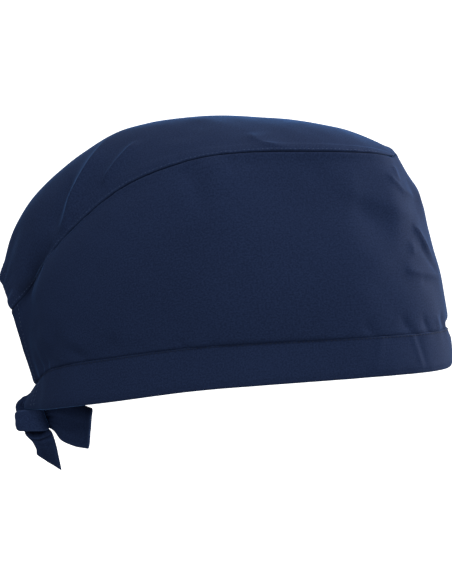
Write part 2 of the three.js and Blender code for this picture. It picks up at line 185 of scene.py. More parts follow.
# Folds. Points: how far round (t), then how far up the side (0 to 1) or out from the crown's centre line
# (-1 right, 1 left). rise in mm. left and right are the half widths, mm, on each hand of someone outside who
# follows the points. sharp from 0, a soft swell, to 1, a crease. start and end: shares of the length over which
# it fades in and out.
CROWN_FOLDS = [
    # points, rise, left, right, sharp, start, end
    # The crown's two creases that run down and back from its top to the seam.
    ([(0.705, -0.1), (0.709, -0.3), (0.722, -0.5), (0.741, -0.64),
      (0.762, -0.73), (0.782, -0.8), (0.817, -0.92), (0.86, -0.99)], 4.2, 8, 8, 0.7, 0.5, 0.3),
    ([(0.655, -0.55), (0.667, -0.667), (0.692, -0.765), (0.719, -0.85), (0.74, -0.92)], 2.4, 5.5, 4.5, 0.75, 0.3, 0.3),
    ([(0.765, -0.55), (0.79, -0.7), (0.815, -0.8), (0.85, -0.9)], -1.7, 6, 5, 0.1, 0.4, 0.3),
    ([(0.93, -0.5), (0.94, -0.2), (0.95, 0.1)], 1.4, 14, 14, 0, 0.4, 0.4),
    ([(0.85, -0.985), (0.885, -0.95), (0.92, -0.93), (0.955, -0.93)], -2.6, 5, 6, 0.2, 0.25, 0.3),
    ([(0.975, -0.88), (1, -0.68), (1, -0.4)], -1.6, 8, 8, 0, 0.3, 0.3),
    ([(0.89, -0.5), (0.925, -0.65), (0.965, -0.74)], 0.5, 8, 8, 0, 0.4, 0.5),
    ([(0.434, -0.62), (0.42, -0.74), (0.4, -0.86), (0.37, -0.94), (0.33, -0.98)], 1.2, 7, 3, 0.75, 0.35, 0.3),
    ([(0.52, -0.3), (0.56, -0.55), (0.58, -0.8)], -0.6, 10, 10, 0, 0.4, 0.3),
    ([(0.7, 0.3), (0.74, 0.6), (0.8, 0.82), (0.86, 0.95)], 1.7, 6, 12, 0.5, 0.3, 0.3),
    ([(0.6, 0.6), (0.64, 0.8), (0.68, 0.93)], 0.7, 4, 6, 0.5, 0.3, 0.3),
    ([(0.87, 0.95), (0.91, 0.88), (0.95, 0.86)], -1.4, 5, 5, 0.2, 0.3, 0.3),
    ([(0.4, 0.55), (0.36, 0.78), (0.3, 0.93)], 0.7, 5, 7, 0.4, 0.3, 0.3),
]
SIDE_FOLDS = [
    # The front: creases that slant down to the centre front.
    ([(-0.12, 0.9), (-0.101, 0.849), (-0.087, 0.824),
      (-0.068, 0.789), (-0.016, 0.774), (0.067, 0.744)], 1.35, 7, 2.8, 0.75, 0.2, 0.3),
    ([(-0.055, 0.95), (-0.062, 0.9), (-0.082, 0.85)], 0.8, 3, 2.5, 0.5, 0.3, 0.3),
    ([(-0.085, 0.62), (-0.065, 0.558), (-0.038, 0.487), (-0.005, 0.425), (0.03, 0.39)], 2, 6, 2.5, 0.75, 0.25, 0.6),
    ([(-0.072, 0.53), (-0.05, 0.455), (-0.005, 0.37), (0.04, 0.33)], -0.7, 2, 3.5, 0.2, 0.3, 0.3),
    ([(-0.104, 0.53), (-0.11, 0.47), (-0.113, 0.42)], 0.8, 3, 3, 0.4, 0.4, 0.4),
    ([(-0.16, 0.355), (-0.134, 0.342), (-0.082, 0.327), (0.02, 0.307), (0.06, 0.3)], 1.3, 4, 2.6, 0.75, 0.3, 0.5),
    ([(-0.11, 0.3), (-0.06, 0.285), (0.02, 0.27)], -0.6, 3, 4, 0.1, 0.3, 0.3),
    ([(-0.27, 0.86), (-0.239, 0.8), (-0.189, 0.744), (-0.107, 0.673), (-0.04, 0.63)], 1.1, 10, 6, 0.2, 0.3, 0.3),
    ([(-0.25, 0.74), (-0.2, 0.66), (-0.14, 0.6)], -0.8, 7, 9, 0, 0.35, 0.35),
    ([(-0.3, 0.62), (-0.24, 0.45), (-0.2, 0.3)], 0.7, 14, 12, 0, 0.35, 0.35),
    ([(0.17, 0.85), (0.09, 0.78), (0.02, 0.72)], 0.9, 4, 5, 0.5, 0.3, 0.3),
    ([(0.2, 0.5), (0.11, 0.45), (0.02, 0.42)], -0.4, 6, 7, 0.1, 0.3, 0.3),
    ([(0, 0.76), (0.1, 0.71), (0.2, 0.67)], 1.4, 10, 9, 0, 0.3, 0.3),
    # Broad form: the side falls in a little under the crown seam and stands out again above the band.
    ([(-0.12, 0.7), (-0.22, 0.74), (-0.36, 0.76), (-0.5, 0.74)], -3, 24, 24, 0, 0.35, 0.35),
    ([(-0.18, 0.2), (-0.34, 0.22), (-0.5, 0.2), (-0.62, 0.16)], 2.4, 22, 22, 0, 0.35, 0.35),
    # Under the crown seam on the near side.
    ([(-0.573, 0.985), (-0.545, 0.874), (-0.526, 0.759), (-0.52, 0.66)], -1.15, 6, 4.5, 0.15, 0.1, 0.5),
    ([(-0.512, 0.985), (-0.49, 0.88), (-0.475, 0.76)], 0.8, 8, 6, 0.1, 0.15, 0.5),
    ([(-0.458, 0.985), (-0.457, 0.93), (-0.456, 0.87)], -0.65, 3, 2, 0.4, 0.1, 0.5),
    ([(-0.416, 0.985), (-0.41, 0.9)], -0.4, 4, 4, 0.2, 0.1, 0.5),
    ([(-0.33, 0.985), (-0.31, 0.92), (-0.28, 0.86)], -0.5, 6, 6, 0, 0.2, 0.5),
    ([(-0.69, 0.985), (-0.665, 0.9), (-0.65, 0.8)], -0.5, 6, 6, 0.1, 0.1, 0.5),
    # The foot of the far side is drawn in near the front.
    ([(0, 0.01), (0.1, 0.01), (0.22, 0.01)], -2.8, 2.6, 2.6, 0, 0.3, 0.3),
    # Above the band towards the back, where the cloth is drawn in.
    ([(-0.93, 0.02), (-0.87, 0.09), (-0.83, 0.2), (-0.8, 0.34)], -1.5, 7, 6, 0.1, 0.1, 0.5),
    ([(-0.9, 0.34), (-0.86, 0.25), (-0.84, 0.12), (-0.84, 0.04)], 0.6, 6, 5, 0.1, 0.4, 0.2),
    ([(-0.83, 0.3), (-0.79, 0.17), (-0.755, 0.09)], 0.8, 6, 5, 0.15, 0.4, 0.3),
    ([(-0.81, 0.136), (-0.777, 0.04), (-0.765, 0)], -1.3, 4, 4, 0.3, 0.4, 0),
    ([(-0.69, 0.12), (-0.715, 0.06), (-0.74, 0)], -1.2, 3.5, 4.5, 0.3, 0.4, 0),
    ([(-0.655, 0.09), (-0.675, 0)], -0.5, 3, 3, 0.2, 0.4, 0),
    ([(-0.6, 0.06), (-0.581, 0)], -0.7, 2.2, 2.2, 0.4, 0.4, 0),
    ([(-0.55, 0.05), (-0.53, 0)], -0.5, 2.2, 2.2, 0.4, 0.4, 0),
    ([(-0.9, 0.8), (-0.885, 0.5), (-0.87, 0.25)], -0.8, 9, 9, 0, 0.35, 0.35),
    # Above the band at the front.
    ([(-0.268, 0.1), (-0.245, 0)], -0.9, 3, 3, 0.3, 0.5, 0),
    ([(-0.19, 0.12), (-0.159, 0)], -0.9, 2.6, 3.4, 0.3, 0.5, 0),
    ([(-0.125, 0.12), (-0.104, 0)], -0.7, 2.4, 2.6, 0.3, 0.5, 0),
    ([(-0.06, 0.11), (-0.05, 0)], 0.7, 2.6, 2.6, 0.4, 0.5, 0),
    ([(-0.02, 0.12), (-0.008, 0)], -0.8, 2.6, 2.6, 0.3, 0.5, 0),
    # The far side, plainer.
    ([(0.52, 0.985), (0.49, 0.88), (0.47, 0.74)], -0.9, 6, 6, 0.1, 0.1, 0.5),
    ([(0.3, 0.985), (0.27, 0.9), (0.22, 0.8)], -0.7, 7, 7, 0.1, 0.1, 0.5),
    ([(0.86, 0.02), (0.83, 0.15), (0.82, 0.3)], -1.3, 7, 7, 0.1, 0.15, 0.5),
    ([(0.72, 0.1), (0.75, 0)], -1, 4, 4, 0.3, 0.4, 0),
    ([(0.64, 0.08), (0.66, 0)], -0.7, 3, 3, 0.3, 0.4, 0),
    ([(0.24, 0.1), (0.22, 0)], -0.8, 3, 3, 0.3, 0.4, 0),
    ([(0.13, 0.1), (0.12, 0)], -0.7, 3, 3, 0.3, 0.4, 0),
    ([(0.36, 0.55), (0.3, 0.4), (0.26, 0.24)], 0.9, 12, 12, 0, 0.35, 0.35),
]


def smooth(x):
    x = np.clip(x, 0, 1)
    return x * x * (3 - 2 * x)


def fold_rise(base, folds, p, n):
    """Millimetres out along the normals n, at the points p, for the folds of the piece whose plain form is base."""
    flat, normal = p.reshape(-1, 3), n.reshape(-1, 3)
    rise = np.zeros(len(flat))
    for points, height, left, right, sharp, start, end in folds:
        track = catmull(np.array(points), np.linspace(0, 1, 33))
        line = base(track[:, 0], track[:, 1])
        heading = unit(np.gradient(line, axis=0))
        reach = 3.2 * max(left, right)
        near = np.all((flat > line.min(0) - reach) & (flat < line.max(0) + reach), axis=1).nonzero()[0]
        if not len(near):
            continue
        q = flat[near]
        away = q[:, None, :] - line[None]
        closest = (away**2).sum(-1).argmin(1)
        gap = away[np.arange(len(near)), closest]
        ahead = heading[closest]
        along = (gap * ahead).sum(1)
        beyond = (closest == 0) & (along < 0) | (closest == len(line) - 1) & (along > 0)
        gap = gap - ahead * np.where(beyond, 0, along)[:, None]
        off = np.linalg.norm(gap, axis=1)
        hand = (np.cross(normal[near], ahead) * gap).sum(1)
        d = off / np.where(hand > 0, left, right)
        step = np.linalg.norm(np.gradient(line, axis=0), axis=1)[closest]
        share = np.clip((closest + np.clip(along / step, -0.5, 0.5)) / (len(line) - 1), 0, 1)
        fade = (smooth(share / start) if start else 1) * (smooth((1 - share) / end) if end else 1)
        rise[near] += height * fade * (np.exp(-d * d) * (1 - sharp) + np.exp(-1.7 * d) * sharp)
    return rise.reshape(p.shape[:-1])


def ripple(x, waves, seed):
    """A sum of sines of x, mm, with lengths from the pair waves, scaled to about -1 to 1."""
    rng = np.random.default_rng(seed)
    total = np.zeros(np.shape(x))
    for _ in range(6):
        length = rng.uniform(*waves)
        total += rng.uniform(0.5, 1) * np.sin(2 * math.pi * (x / length + rng.uniform()))
    return total / 3.0


def swell_noise(p, size, seed):
    """Smooth noise over points in mm, about -1 to 1, with features of that size."""
    rng = np.random.default_rng(seed)
    total = np.zeros(p.shape[:-1])
    for _ in range(10):
        direction = rng.normal(size=3)
        direction /= np.linalg.norm(direction) * size * rng.uniform(0.8, 1.6)
        total += np.sin(2 * math.pi * (p @ direction + rng.uniform()))
    return total / 4.0


def normal_of(surface, t, s):
    """Unit normals of a surface of two variables."""
    h = 1e-4
    dt = surface(np.minimum(t + h, 1), s) - surface(np.maximum(t - h, -1), s)
    ds = surface(t, s + h) - surface(t, s - h)
    return unit(np.cross(dt, ds))


def spaced(length, fine, coarse, grow=1.35):
    """Distances from 0 to length, with small steps at both ends that grow to coarse ones. Their count is odd."""
    steps = []
    step, total = fine, 0.0
    while total + step < length / 2:
        steps.append(step)
        total += step
        step = min(coarse, step * grow)
    half = np.concatenate([[0], np.cumsum(steps)])
    half = half * (length / 2) / half[-1]
    return np.concatenate([half, length - half[::-1][1:]])


def make_mesh(name, points, faces, uv=None, marks=None):
    """A smooth mesh from points in mm. uv is in mm, one pair a point. marks: named numbers, one a point."""
    mesh = bpy.data.meshes.new(name)
    mesh.from_pydata((np.asarray(points) * MM).tolist(), [], faces)
    mesh.validate(clean_customdata=False)
    mesh.polygons.foreach_set("use_smooth", [True] * len(mesh.polygons))
    if uv is not None:
        layer = mesh.uv_layers.new(name="UVMap")
        corner = np.zeros(len(mesh.loops), np.int32)
        mesh.loops.foreach_get("vertex_index", corner)
        layer.data.foreach_set("uv", (np.asarray(uv)[corner] * MM).astype(np.float32).ravel())
    for key, values in (marks or {}).items():
        attribute = mesh.attributes.new(key, "FLOAT", "POINT")
        attribute.data.foreach_set("value", np.asarray(values, np.float32))
    mesh.update()
    return add_object(name, mesh)


def quads(a, b, c, d):
    """The four-cornered faces whose corners are at the same places in four grids of point numbers."""
    return np.stack([a, b, c, d], -1).reshape(-1, 4).tolist()


def around(grid):
    """The numbers on the edge of a grid, once round."""
    return np.concatenate([grid[0, :-1], grid[:-1, -1], grid[-1, :0:-1], grid[:0:-1, 0]])


def facing_out(points, faces):
    """The faces, all turned round if the closed mesh they make is inside out."""
    p = np.asarray(points)
    corners = np.array([(f[0], f[k], f[k + 1]) for f in faces for k in range(1, len(f) - 1)])
    a, b, c = p[corners[:, 0]], p[corners[:, 1]], p[corners[:, 2]]
    return faces if (a * np.cross(b, c)).sum() > 0 else [f[::-1] for f in faces]


def cloth_shell(name, outer, normal, wall, uv, marks=None, lip=0.5):
    """A closed piece of cloth. Its inner face has half the outer one's rows and columns, and its edges are round."""
    rows, columns = outer.shape[:2]
    grid = np.arange(rows * columns).reshape(rows, columns)
    rim = around(grid)
    inner = outer - normal * np.asarray(wall)[..., None]
    # Each rim point's own way out of the cloth's edge.
    inward = np.zeros_like(outer)
    inward[0] += unit(outer[1] - outer[0])
    inward[-1] += unit(outer[-2] - outer[-1])
    inward[:, 0] += unit(outer[:, 1] - outer[:, 0])
    inward[:, -1] += unit(outer[:, -2] - outer[:, -1])
    flat_outer, flat_inner = outer.reshape(-1, 3), inner.reshape(-1, 3)
    flat_uv = uv.reshape(-1, 2)
    middle = (flat_outer[rim] + flat_inner[rim]) / 2
    depth = np.linalg.norm(flat_outer[rim] - flat_inner[rim], axis=1)[:, None]
    middle -= unit(inward.reshape(-1, 3)[rim]) * depth * lip
    first_middle = rows * columns
    first_inner = first_middle + len(rim)
    half = grid[::2, ::2]
    points = np.vstack([flat_outer, middle, flat_inner[half.ravel()]])
    all_uv = np.vstack([flat_uv, flat_uv[rim], flat_uv[half.ravel()]])
    faces = quads(grid[:-1, :-1], grid[:-1, 1:], grid[1:, 1:], grid[1:, :-1])
    low = np.arange(half.size).reshape(half.shape) + first_inner
    faces += quads(low[:-1, :-1], low[1:, :-1], low[1:, 1:], low[:-1, 1:])
    low_rim = around(low).tolist()
    edge = np.arange(first_middle, first_inner)
    faces += quads(np.roll(rim, -1), rim, edge, np.roll(edge, -1))
    edge = edge.tolist()
    for j in range(len(low_rim)):
        a, b, c = edge[2 * j], edge[2 * j + 1], edge[(2 * j + 2) % len(edge)]
        i0, i1 = low_rim[j], low_rim[(j + 1) % len(low_rim)]
        faces += [(b, a, i0), (b, i0, i1), (c, b, i1)]
    faces = facing_out(points, faces)
    all_marks = {}
    for key, values in (marks or {}).items():
        flat = np.broadcast_to(values, (rows, columns)).reshape(-1)
        all_marks[key] = np.concatenate([flat, flat[rim], flat[half.ravel()]])
    return make_mesh(name, points, faces, all_uv, all_marks)


def finish_piece(piece, slot, *nodes, material=None):
    if material is not None:
        piece.data.materials.append(material)
    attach(piece, "root")
    if nodes:
        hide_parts(*nodes)
    return piece


NAVY = (0.0206, 0.0360, 0.0930)
NAVY_DEEP = (0.0136, 0.0238, 0.0625)
NAVY_LIGHT = (0.0450, 0.0780, 0.1800)
THREAD_PITCH = 0.16


def new_material(name):
    """A material without nodes, and functions that add a node, a link and the shader to it."""
    material = bpy.data.materials.new(name)
    material.use_nodes = True
    tree = material.node_tree
    tree.nodes.clear()
    link = tree.links.new

    def node(kind, inputs=None, **values):
        made = tree.nodes.new(kind)
        for key, value in values.items():
            setattr(made, key, value)
        for key, value in (inputs or {}).items():
            made.inputs[key].default_value = value
        return made

    def surface(**looks):
        shader = node("ShaderNodeBsdfPrincipled", {key.replace("_", " "): value for key, value in looks.items()})
        link(shader.outputs[0], node("ShaderNodeOutputMaterial").inputs["Surface"])
        return shader.inputs

    return material, node, link, surface


def cloth_material(name, sheen, painted_light_gain=1.0):
    """Plain-weave cotton blend in navy. painted_light_gain makes all of it lighter, as painted light."""
    material, node, link, surface = new_material(name)
    base, deep = ([c * painted_light_gain for c in colour] for colour in (NAVY, NAVY_DEEP))

    def number(operation, *values):
        made = node("ShaderNodeMath", operation=operation)
        for index, value in enumerate(values):
            if isinstance(value, (int, float)):
                made.inputs[index].default_value = value
            else:
                link(value, made.inputs[index])
        return made.outputs[0]

    def noise(scale, detail, stretch=(1, 1, 1)):
        mapping = node("ShaderNodeMapping", {"Scale": stretch})
        link(uv.outputs["UV"], mapping.inputs["Vector"])
        made = node("ShaderNodeTexNoise", {"Scale": scale, "Detail": detail})
        link(mapping.outputs[0], made.inputs["Vector"])
        return made.outputs["Fac"]

    def mix(amount, a, colour):
        made = node("ShaderNodeMix", data_type="RGBA")
        link(amount, made.inputs["Factor"])
        link(a, made.inputs["A"])
        made.inputs["B"].default_value = (*colour, 1)
        return made.outputs["Result"]

    def bump(height, strength, distance, below=None):
        made = node("ShaderNodeBump", {"Strength": strength, "Distance": distance * MM})
        link(height, made.inputs["Height"])
        if below is not None:
            link(below, made.inputs["Normal"])
        return made.outputs["Normal"]

    uv = node("ShaderNodeUVMap", uv_map="UVMap")
    split = node("ShaderNodeSeparateXYZ")
    link(uv.outputs["UV"], split.inputs[0])
    turn = math.pi / (THREAD_PITCH * MM)
    slub_warp = noise(150, 2, (1, 14, 1))
    slub_weft = noise(150, 2, (14, 1, 1))
    cloudy = noise(22, 3)
    rumple = noise(75, 3)
    fleck = noise(1250, 2)
    # The threads wander a little, so that the weave is never quite regular.
    wander = number("MULTIPLY", noise(500, 1), 9.0)
    across = number("SINE", number("MULTIPLY_ADD", split.outputs["X"], turn, wander))
    along = number("SINE", number("MULTIPLY_ADD", split.outputs["Y"], turn, wander))
    weave = number("MULTIPLY", across, along)
    yarn = number("ADD", number("MULTIPLY", slub_warp, 0.5), number("MULTIPLY", slub_weft, 0.5))

    ramp = node("ShaderNodeValToRGB")
    for element, position, colour in zip(ramp.color_ramp.elements, (0.30, 0.70), (deep, base)):
        element.position = position
        element.color = (*colour, 1)
    mottle = number("MULTIPLY_ADD", yarn, 0.5, number("MULTIPLY_ADD", fleck, 1.25, -0.47))
    link(number("MULTIPLY_ADD", cloudy, 0.2, mottle), ramp.inputs["Fac"])
    # Lighter edges toward NAVY_LIGHT: partly wear, partly a painted highlight where folded edges catch the light.
    wear_and_highlight = node("ShaderNodeAttribute", attribute_name="wear_and_highlight")
    amount = number("MULTIPLY", wear_and_highlight.outputs["Fac"], number("MULTIPLY_ADD", slub_warp, 0.6, 0.1))
    worn_and_lit = mix(amount, ramp.outputs["Color"], NAVY_LIGHT)
    # Down in a seam or under a fold the cloth is in its own shade.
    shade = node("ShaderNodeAttribute", attribute_name="shade")
    shaded = mix(shade.outputs["Fac"], worn_and_lit, [c * 0.3 for c in deep])

    height = number("ADD", number("MULTIPLY", weave, 0.2), number("MULTIPLY", yarn, 0.55))
    looks = surface(
        Specular_IOR_Level=0.04, Sheen_Weight=sheen, Sheen_Roughness=0.22, Sheen_Tint=(0.14, 0.40, 1.0, 1)
    )
    link(shaded, looks["Base Color"])
    link(number("MULTIPLY_ADD", cloudy, 0.16, 0.74), looks["Roughness"])
    link(bump(rumple, 0.35, 0.35, bump(height, 0.25, 0.06)), looks["Normal"])
    return material


def thread_material(name, colour):
    material, node, link, surface = new_material(name)
    coords = node("ShaderNodeTexCoord")
    noise = node("ShaderNodeTexNoise", {"Scale": 900})
    ramp = node("ShaderNodeValToRGB")
    for element, share in zip(ramp.color_ramp.elements, (0.7, 1.3)):
        element.color = (*[c * share for c in colour], 1)
    bump = node("ShaderNodeBump", {"Strength": 0.3, "Distance": 0.05 * MM})
    looks = surface(Roughness=0.7, Specular_IOR_Level=0.2)
    link(coords.outputs["Object"], noise.inputs["Vector"])
    link(noise.outputs["Fac"], ramp.inputs["Fac"])
    link(ramp.outputs["Color"], looks["Base Color"])
    link(noise.outputs["Fac"], bump.inputs["Height"])
    link(bump.outputs["Normal"], looks["Normal"])
    return material


side_cloth = cloth_material("side_weave", 0.35)
crown_cloth = cloth_material("crown_weave", 0.42)
band_cloth = cloth_material("band_weave", 0.22)
# The ties are the cap's own cloth, painted a quarter lighter as painted light.
tie_cloth = cloth_material("tie_weave", 0.30, painted_light_gain=1.25)
thread = thread_material("navy_thread", (0.050, 0.078, 0.160))
# Near-black thread: the stitches are real, their darkness is painted shade along the band's stitch line.
shade_dark_thread = thread_material("shade_dark_navy_thread", (0.010, 0.018, 0.045))

# The camera, and the three ways as it sees them.
SCALE = 0.494  # mm of the object for a pixel of the photo
WIDTH, HEIGHT = 452, 584
ORIGIN_PX = (243, 380)
AZIMUTH, ELEVATION, DISTANCE = math.radians(18), math.radians(4), 1500.0
SENSOR = 36.0
SEEN_RIGHT = np.array([math.cos(AZIMUTH), math.sin(AZIMUTH), 0.0])
SEEN_NEAR = np.array(
    [math.sin(AZIMUTH) * math.cos(ELEVATION), -math.cos(AZIMUTH) * math.cos(ELEVATION), math.sin(ELEVATION)]
)
SEEN_UP = np.cross(SEEN_NEAR, SEEN_RIGHT)


def add_object(name, data):
    made = bpy.data.objects.new(name, data)
    bpy.context.scene.collection.objects.link(made)
    return made


def build_camera():
    aim = SEEN_RIGHT * (WIDTH / 2 - ORIGIN_PX[0]) * SCALE - SEEN_UP * (HEIGHT / 2 - ORIGIN_PX[1]) * SCALE
    data = bpy.data.cameras.new("camera")
    data.sensor_width = SENSOR
    data.lens = SENSOR * DISTANCE / (HEIGHT * SCALE)
    data.clip_end = 50
    camera = add_object("camera", data)
    camera.location = (aim + SEEN_NEAR * DISTANCE) * MM
    camera.rotation_euler = Vector(SEEN_NEAR).to_track_quat("Z", "Y").to_euler()
    bpy.context.scene.camera = camera


# Cloth, hems and stitches, mm.
CLOTH = 0.55  # thickness of one layer of the cloth
HEM = 9.0  # width of the turned hems at the rear slit
HEM_STITCH = 6.2  # how far in from the free edge their stitches are
CROWN_STITCH = 1.15  # how far above the crown seam its stitches are
REAR_SPREAD = 0.2  # how much wider than at the seam the crown's rear stations stand apart at its centre line


def edge_fall(d, reach):
    """1 at an edge, falling smoothly to 0 at reach mm from it."""
    return 1 - smooth(np.asarray(d) / reach)


def groove(d, half):
    return np.exp(-((d / half) ** 2))


def hem_rise(to_rear, depth):
    """A turned hem along a free edge: a little proud, with a groove of that depth at its stitch line."""
    return 0.42 * edge_fall(np.maximum(to_rear - HEM_STITCH - 0.7, 0), 1.6) - depth * groove(to_rear - HEM_STITCH, 0.65)


def hem_wall(to_rear):
    """The cloth's thickness, greater in the hem."""
    return CLOTH + 0.75 * edge_fall(np.maximum(to_rear - HEM, 0), 1.2)


def side_height(t):
    return np.linalg.norm(at("seam", t) - at("band", t), axis=-1) * 1.04


def side_rise(t, s, base, normal):
    """How far the side panel's outer face stands off its plain form, mm."""
    height = side_height(t)
    arc = seam_arc(t)
    to_seam, to_band = (1 - s) * height, s * height
    to_rear = HALF_SEAM - np.abs(arc)
    hold = smooth(np.minimum(to_seam + 1.5, to_band + 3.5) / 7)
    rise = fold_rise(side_base, SIDE_FOLDS, base, normal) * hold
    rise += 0.45 * swell_noise(base, 55, 11) * hold
    rise += 0.10 * swell_noise(base, 15, 12) * hold
    # Puckers where the cloth is eased into the seam and the band.
    back = smooth((np.abs(t) - 0.45) / 0.4)
    rise += (0.14 + 0.16 * back) * ripple(arc, (7, 15), 21) * np.exp(-to_seam / 6) * smooth(to_seam / 1.5)
    rise += (0.24 + 0.16 * back) * ripple(arc, (7, 16), 22) * np.exp(-to_band / 7) * smooth((to_band + 1.5) / 3)
    # The edge turns down into the crown seam and into the band's.
    rise += 0.20 * groove(to_seam - 1.6, 1.2) - 0.95 * edge_fall(to_seam, 1.0)
    rise += 0.12 * groove(to_band - 2.2, 1.6) - 0.40 * edge_fall(to_band, 1.3)
    rise += hem_rise(to_rear, 0.24)
    rise += 0.22 * ripple(s * height, (6, 12), 23) * np.exp(-np.abs(to_rear - HEM_STITCH) / 3.5)
    return rise


def side_surface(t, s):
    base = side_base(t, s)
    normal = turned_to(normal_of(side_base, t, s), outward(t))
    return base + normal * side_rise(t, s, base, normal)[..., None], normal


def build_side():
    front = (-98.0, 38.0)  # where the mesh is finest, mm along the seam
    arcs = spaced(2 * HALF_SEAM, 0.35, 1.15) - HALF_SEAM
    arcs = np.concatenate([arcs[arcs < front[0]], np.arange(*front, 0.8), arcs[arcs > front[1]]])
    if len(arcs) % 2 == 0:
        arcs = np.delete(arcs, len(arcs) // 3)
    t = seam_t(arcs)
    s = spaced(1.0, 0.28 / SIDE_HEIGHT, 1.0 / SIDE_HEIGHT)
    s_grid, t_grid = np.meshgrid(s, t, indexing="ij")
    outer, normal = side_surface(t_grid, s_grid)
    # The top edge runs on under the crown, and the foot runs on inside the band.
    under = unit(crown_base(np.abs(t), np.sign(t + 1e-9) * 0.9) - at("seam", t))
    tucked = [outer[-1] + under * step - normal[-1] * drop for step, drop in ((0.7, 0.25), (1.8, 0.45))]
    down = unit(at("rim", t) - at("band", t))
    footed = [outer[0] + down * step - normal[0] * drop for step, drop in ((2.6, 0.45), (0.9, 0.25))]
    outer = np.concatenate([np.array(footed), outer, np.array(tucked)])
    s_full = np.concatenate([[-0.026, -0.009], s, [1.007, 1.018]])
    normal = np.concatenate([normal[:1], normal[:1], normal, normal[-1:], normal[-1:]])
    t_full = np.repeat(t[None], len(s_full), 0)
    s_full = np.repeat(s_full[:, None], len(t), 1)
    to_rear = HALF_SEAM - np.abs(seam_arc(t_full))
    to_seam = np.abs(1 - s_full) * side_height(t_full)
    wall = hem_wall(to_rear)
    uv = np.stack([seam_arc(t_full), s_full * SIDE_HEIGHT], -1)
    # Painted highlight and wear along the rear hem's edge; painted shade down at the crown seam and at the band's foot.
    wear_and_highlight = 0.8 * edge_fall(to_rear, 1.2)
    shade = 0.9 * edge_fall(to_seam, 1.1) + 0.5 * edge_fall(s_full * side_height(t_full), 0.8)
    # Painted shade in the hollow by the crown seam at the right rear corner.
    drawn = groove(to_seam, 4.0) * edge_fall(np.abs(t_full + 0.925), 0.07)
    shade = np.clip(np.maximum(shade, 0.8 * drawn), 0, 1)
    piece = cloth_shell("side_cloth", outer, normal, wall, uv, {"wear_and_highlight": wear_and_highlight, "shade": shade})
    finish_piece(piece, "side_cloth", "side_panel", material=side_cloth)


def crown_slant(t):
    """About how many millimetres it is along the cloth from the crown's centre line to its seam."""
    half = np.abs(at("seam", t)[..., 1])
    return np.hypot(half, np.linalg.norm((at("crest", t) - at("seam", t))[..., ::2], axis=-1)) + 1e-3


def crown_rise(t, q, base, normal):
    to_seam = (1 - np.abs(q)) * crown_slant(t)
    arc = seam_arc(t)
    to_rear = (HALF_SEAM - arc) * (1 + REAR_SPREAD * (1 - q * q))
    hold = smooth((to_seam + 1.5) / 6)
    rise = fold_rise(crown_base, CROWN_FOLDS, base, normal) * hold
    rise += 0.40 * swell_noise(base, 60, 31) * hold
    rise += 0.10 * swell_noise(base, 16, 34) * hold
    rise += 0.22 * ripple(arc * np.sign(q), (6, 13), 32) * np.exp(-to_seam / 5) * smooth(to_seam / 1.2)
    # The seam allowance is turned back under the crown's edge and stitched down just above the seam.
    rise += 0.25 * edge_fall(np.maximum(to_seam - 5.0, 0), 2.5) - 0.16 * groove(to_seam - CROWN_STITCH, 0.5)
    rise -= 0.85 * edge_fall(to_seam, 0.8)
    rise += hem_rise(to_rear, 0.38)
    rise += 0.25 * ripple(q * 60, (7, 13), 33) * np.exp(-np.abs(to_rear - HEM_STITCH) / 4)
    return rise


INSIDE = np.array([-20.0, 0.0, 20.0])  # a place inside the cap


def crown_surface(t, q):
    base = crown_base(t, q)
    normal = turned_to(normal_of(crown_base, t, q), base - INSIDE)
    return base + normal * crown_rise(t, q, base, normal)[..., None], normal


def build_crown():
    arcs = HALF_SEAM - spaced(2 * HALF_SEAM, 0.35, 1.0)
    arcs = arcs[arcs > 0.5][::-1]
    if len(arcs) % 2 == 0:
        arcs = np.delete(arcs, 3)
    half_width = 64.0
    q = spaced(2.0, 0.22 / half_width, 1.0 / half_width) - 1
    t_grid, q_grid = np.meshgrid(seam_t(arcs), q, indexing="ij")
    outer, normal = crown_surface(t_grid, q_grid)
    to_rear = HALF_SEAM - seam_arc(t_grid)
    to_seam = (1 - np.abs(q_grid)) * crown_slant(t_grid)
    wall = hem_wall(to_rear)
    uv = np.stack([q_grid * crown_slant(t_grid), seam_arc(t_grid)], -1)
    # Lighter at the rear hem's edge and in a thin line along the rolled edge over the seam: wear and painted highlight.
    wear_and_highlight = 0.8 * edge_fall(to_rear, 1.2) + 0.3 * groove(to_seam - 0.9, 0.5)
    # Painted shade at the seam, and in the hollow by it at the right rear corner.
    drawn = groove(to_seam, 6.0) * edge_fall(np.abs(t_grid - 0.925), 0.075) * (q_grid < 0)
    shade = np.maximum(0.8 * edge_fall(to_seam, 0.6), 0.9 * drawn)
    piece = cloth_shell("crown_cloth", outer, normal, wall, uv, {"wear_and_highlight": wear_and_highlight, "shade": shade}, lip=0.2)
    finish_piece(piece, "crown_cloth", "crown_panel", material=crown_cloth)


# Outer face of the casing, the cloth folded double, from its bottom fold to the seam with the side panel.
BAND_FACE = [
    # out mm, up as a share of the band's height
    (-0.95, -0.004),
    (-0.55, 0.004),
    (-0.20, 0.030),
    (0.05, 0.075),
    (0.50, 0.160),
    (0.60, 0.330),
    (0.48, 0.560),
    (0.28, 0.760),
    (0.14, 0.870),
    (0.09, 0.935),
    (0.07, 0.958),
    (0.00, 0.972),
    (0.05, 0.986),
    (-0.15, 1.000),
    (-0.50, 1.006),
]
BAND_STITCH_UP = 0.972
# Creases across the casing, near the front and where it is drawn in to the knot.
BAND_CREASES = [
    # place round the rim from the centre front, mm, lean, height, half width
    (-33, 6, 0.3, 1.8),
    (-30, 6, -0.3, 2.2),
    (-52, -6, 0.35, 2.4),
    (-56, -6, -0.3, 3.0),
    (-84, 5, -0.3, 3.5),
    (-230, -8, -0.5, 6.0),
    (46, -6, 0.35, 3.0),
    (236, 8, -0.7, 4.0),
]


def band_face(count):
    table = np.array(BAND_FACE)
    along = lengths(table * [1, 20])
    want = np.linspace(0, along[-1], count)
    return np.interp(want, along, table[:, 0]), np.interp(want, along, table[:, 1])


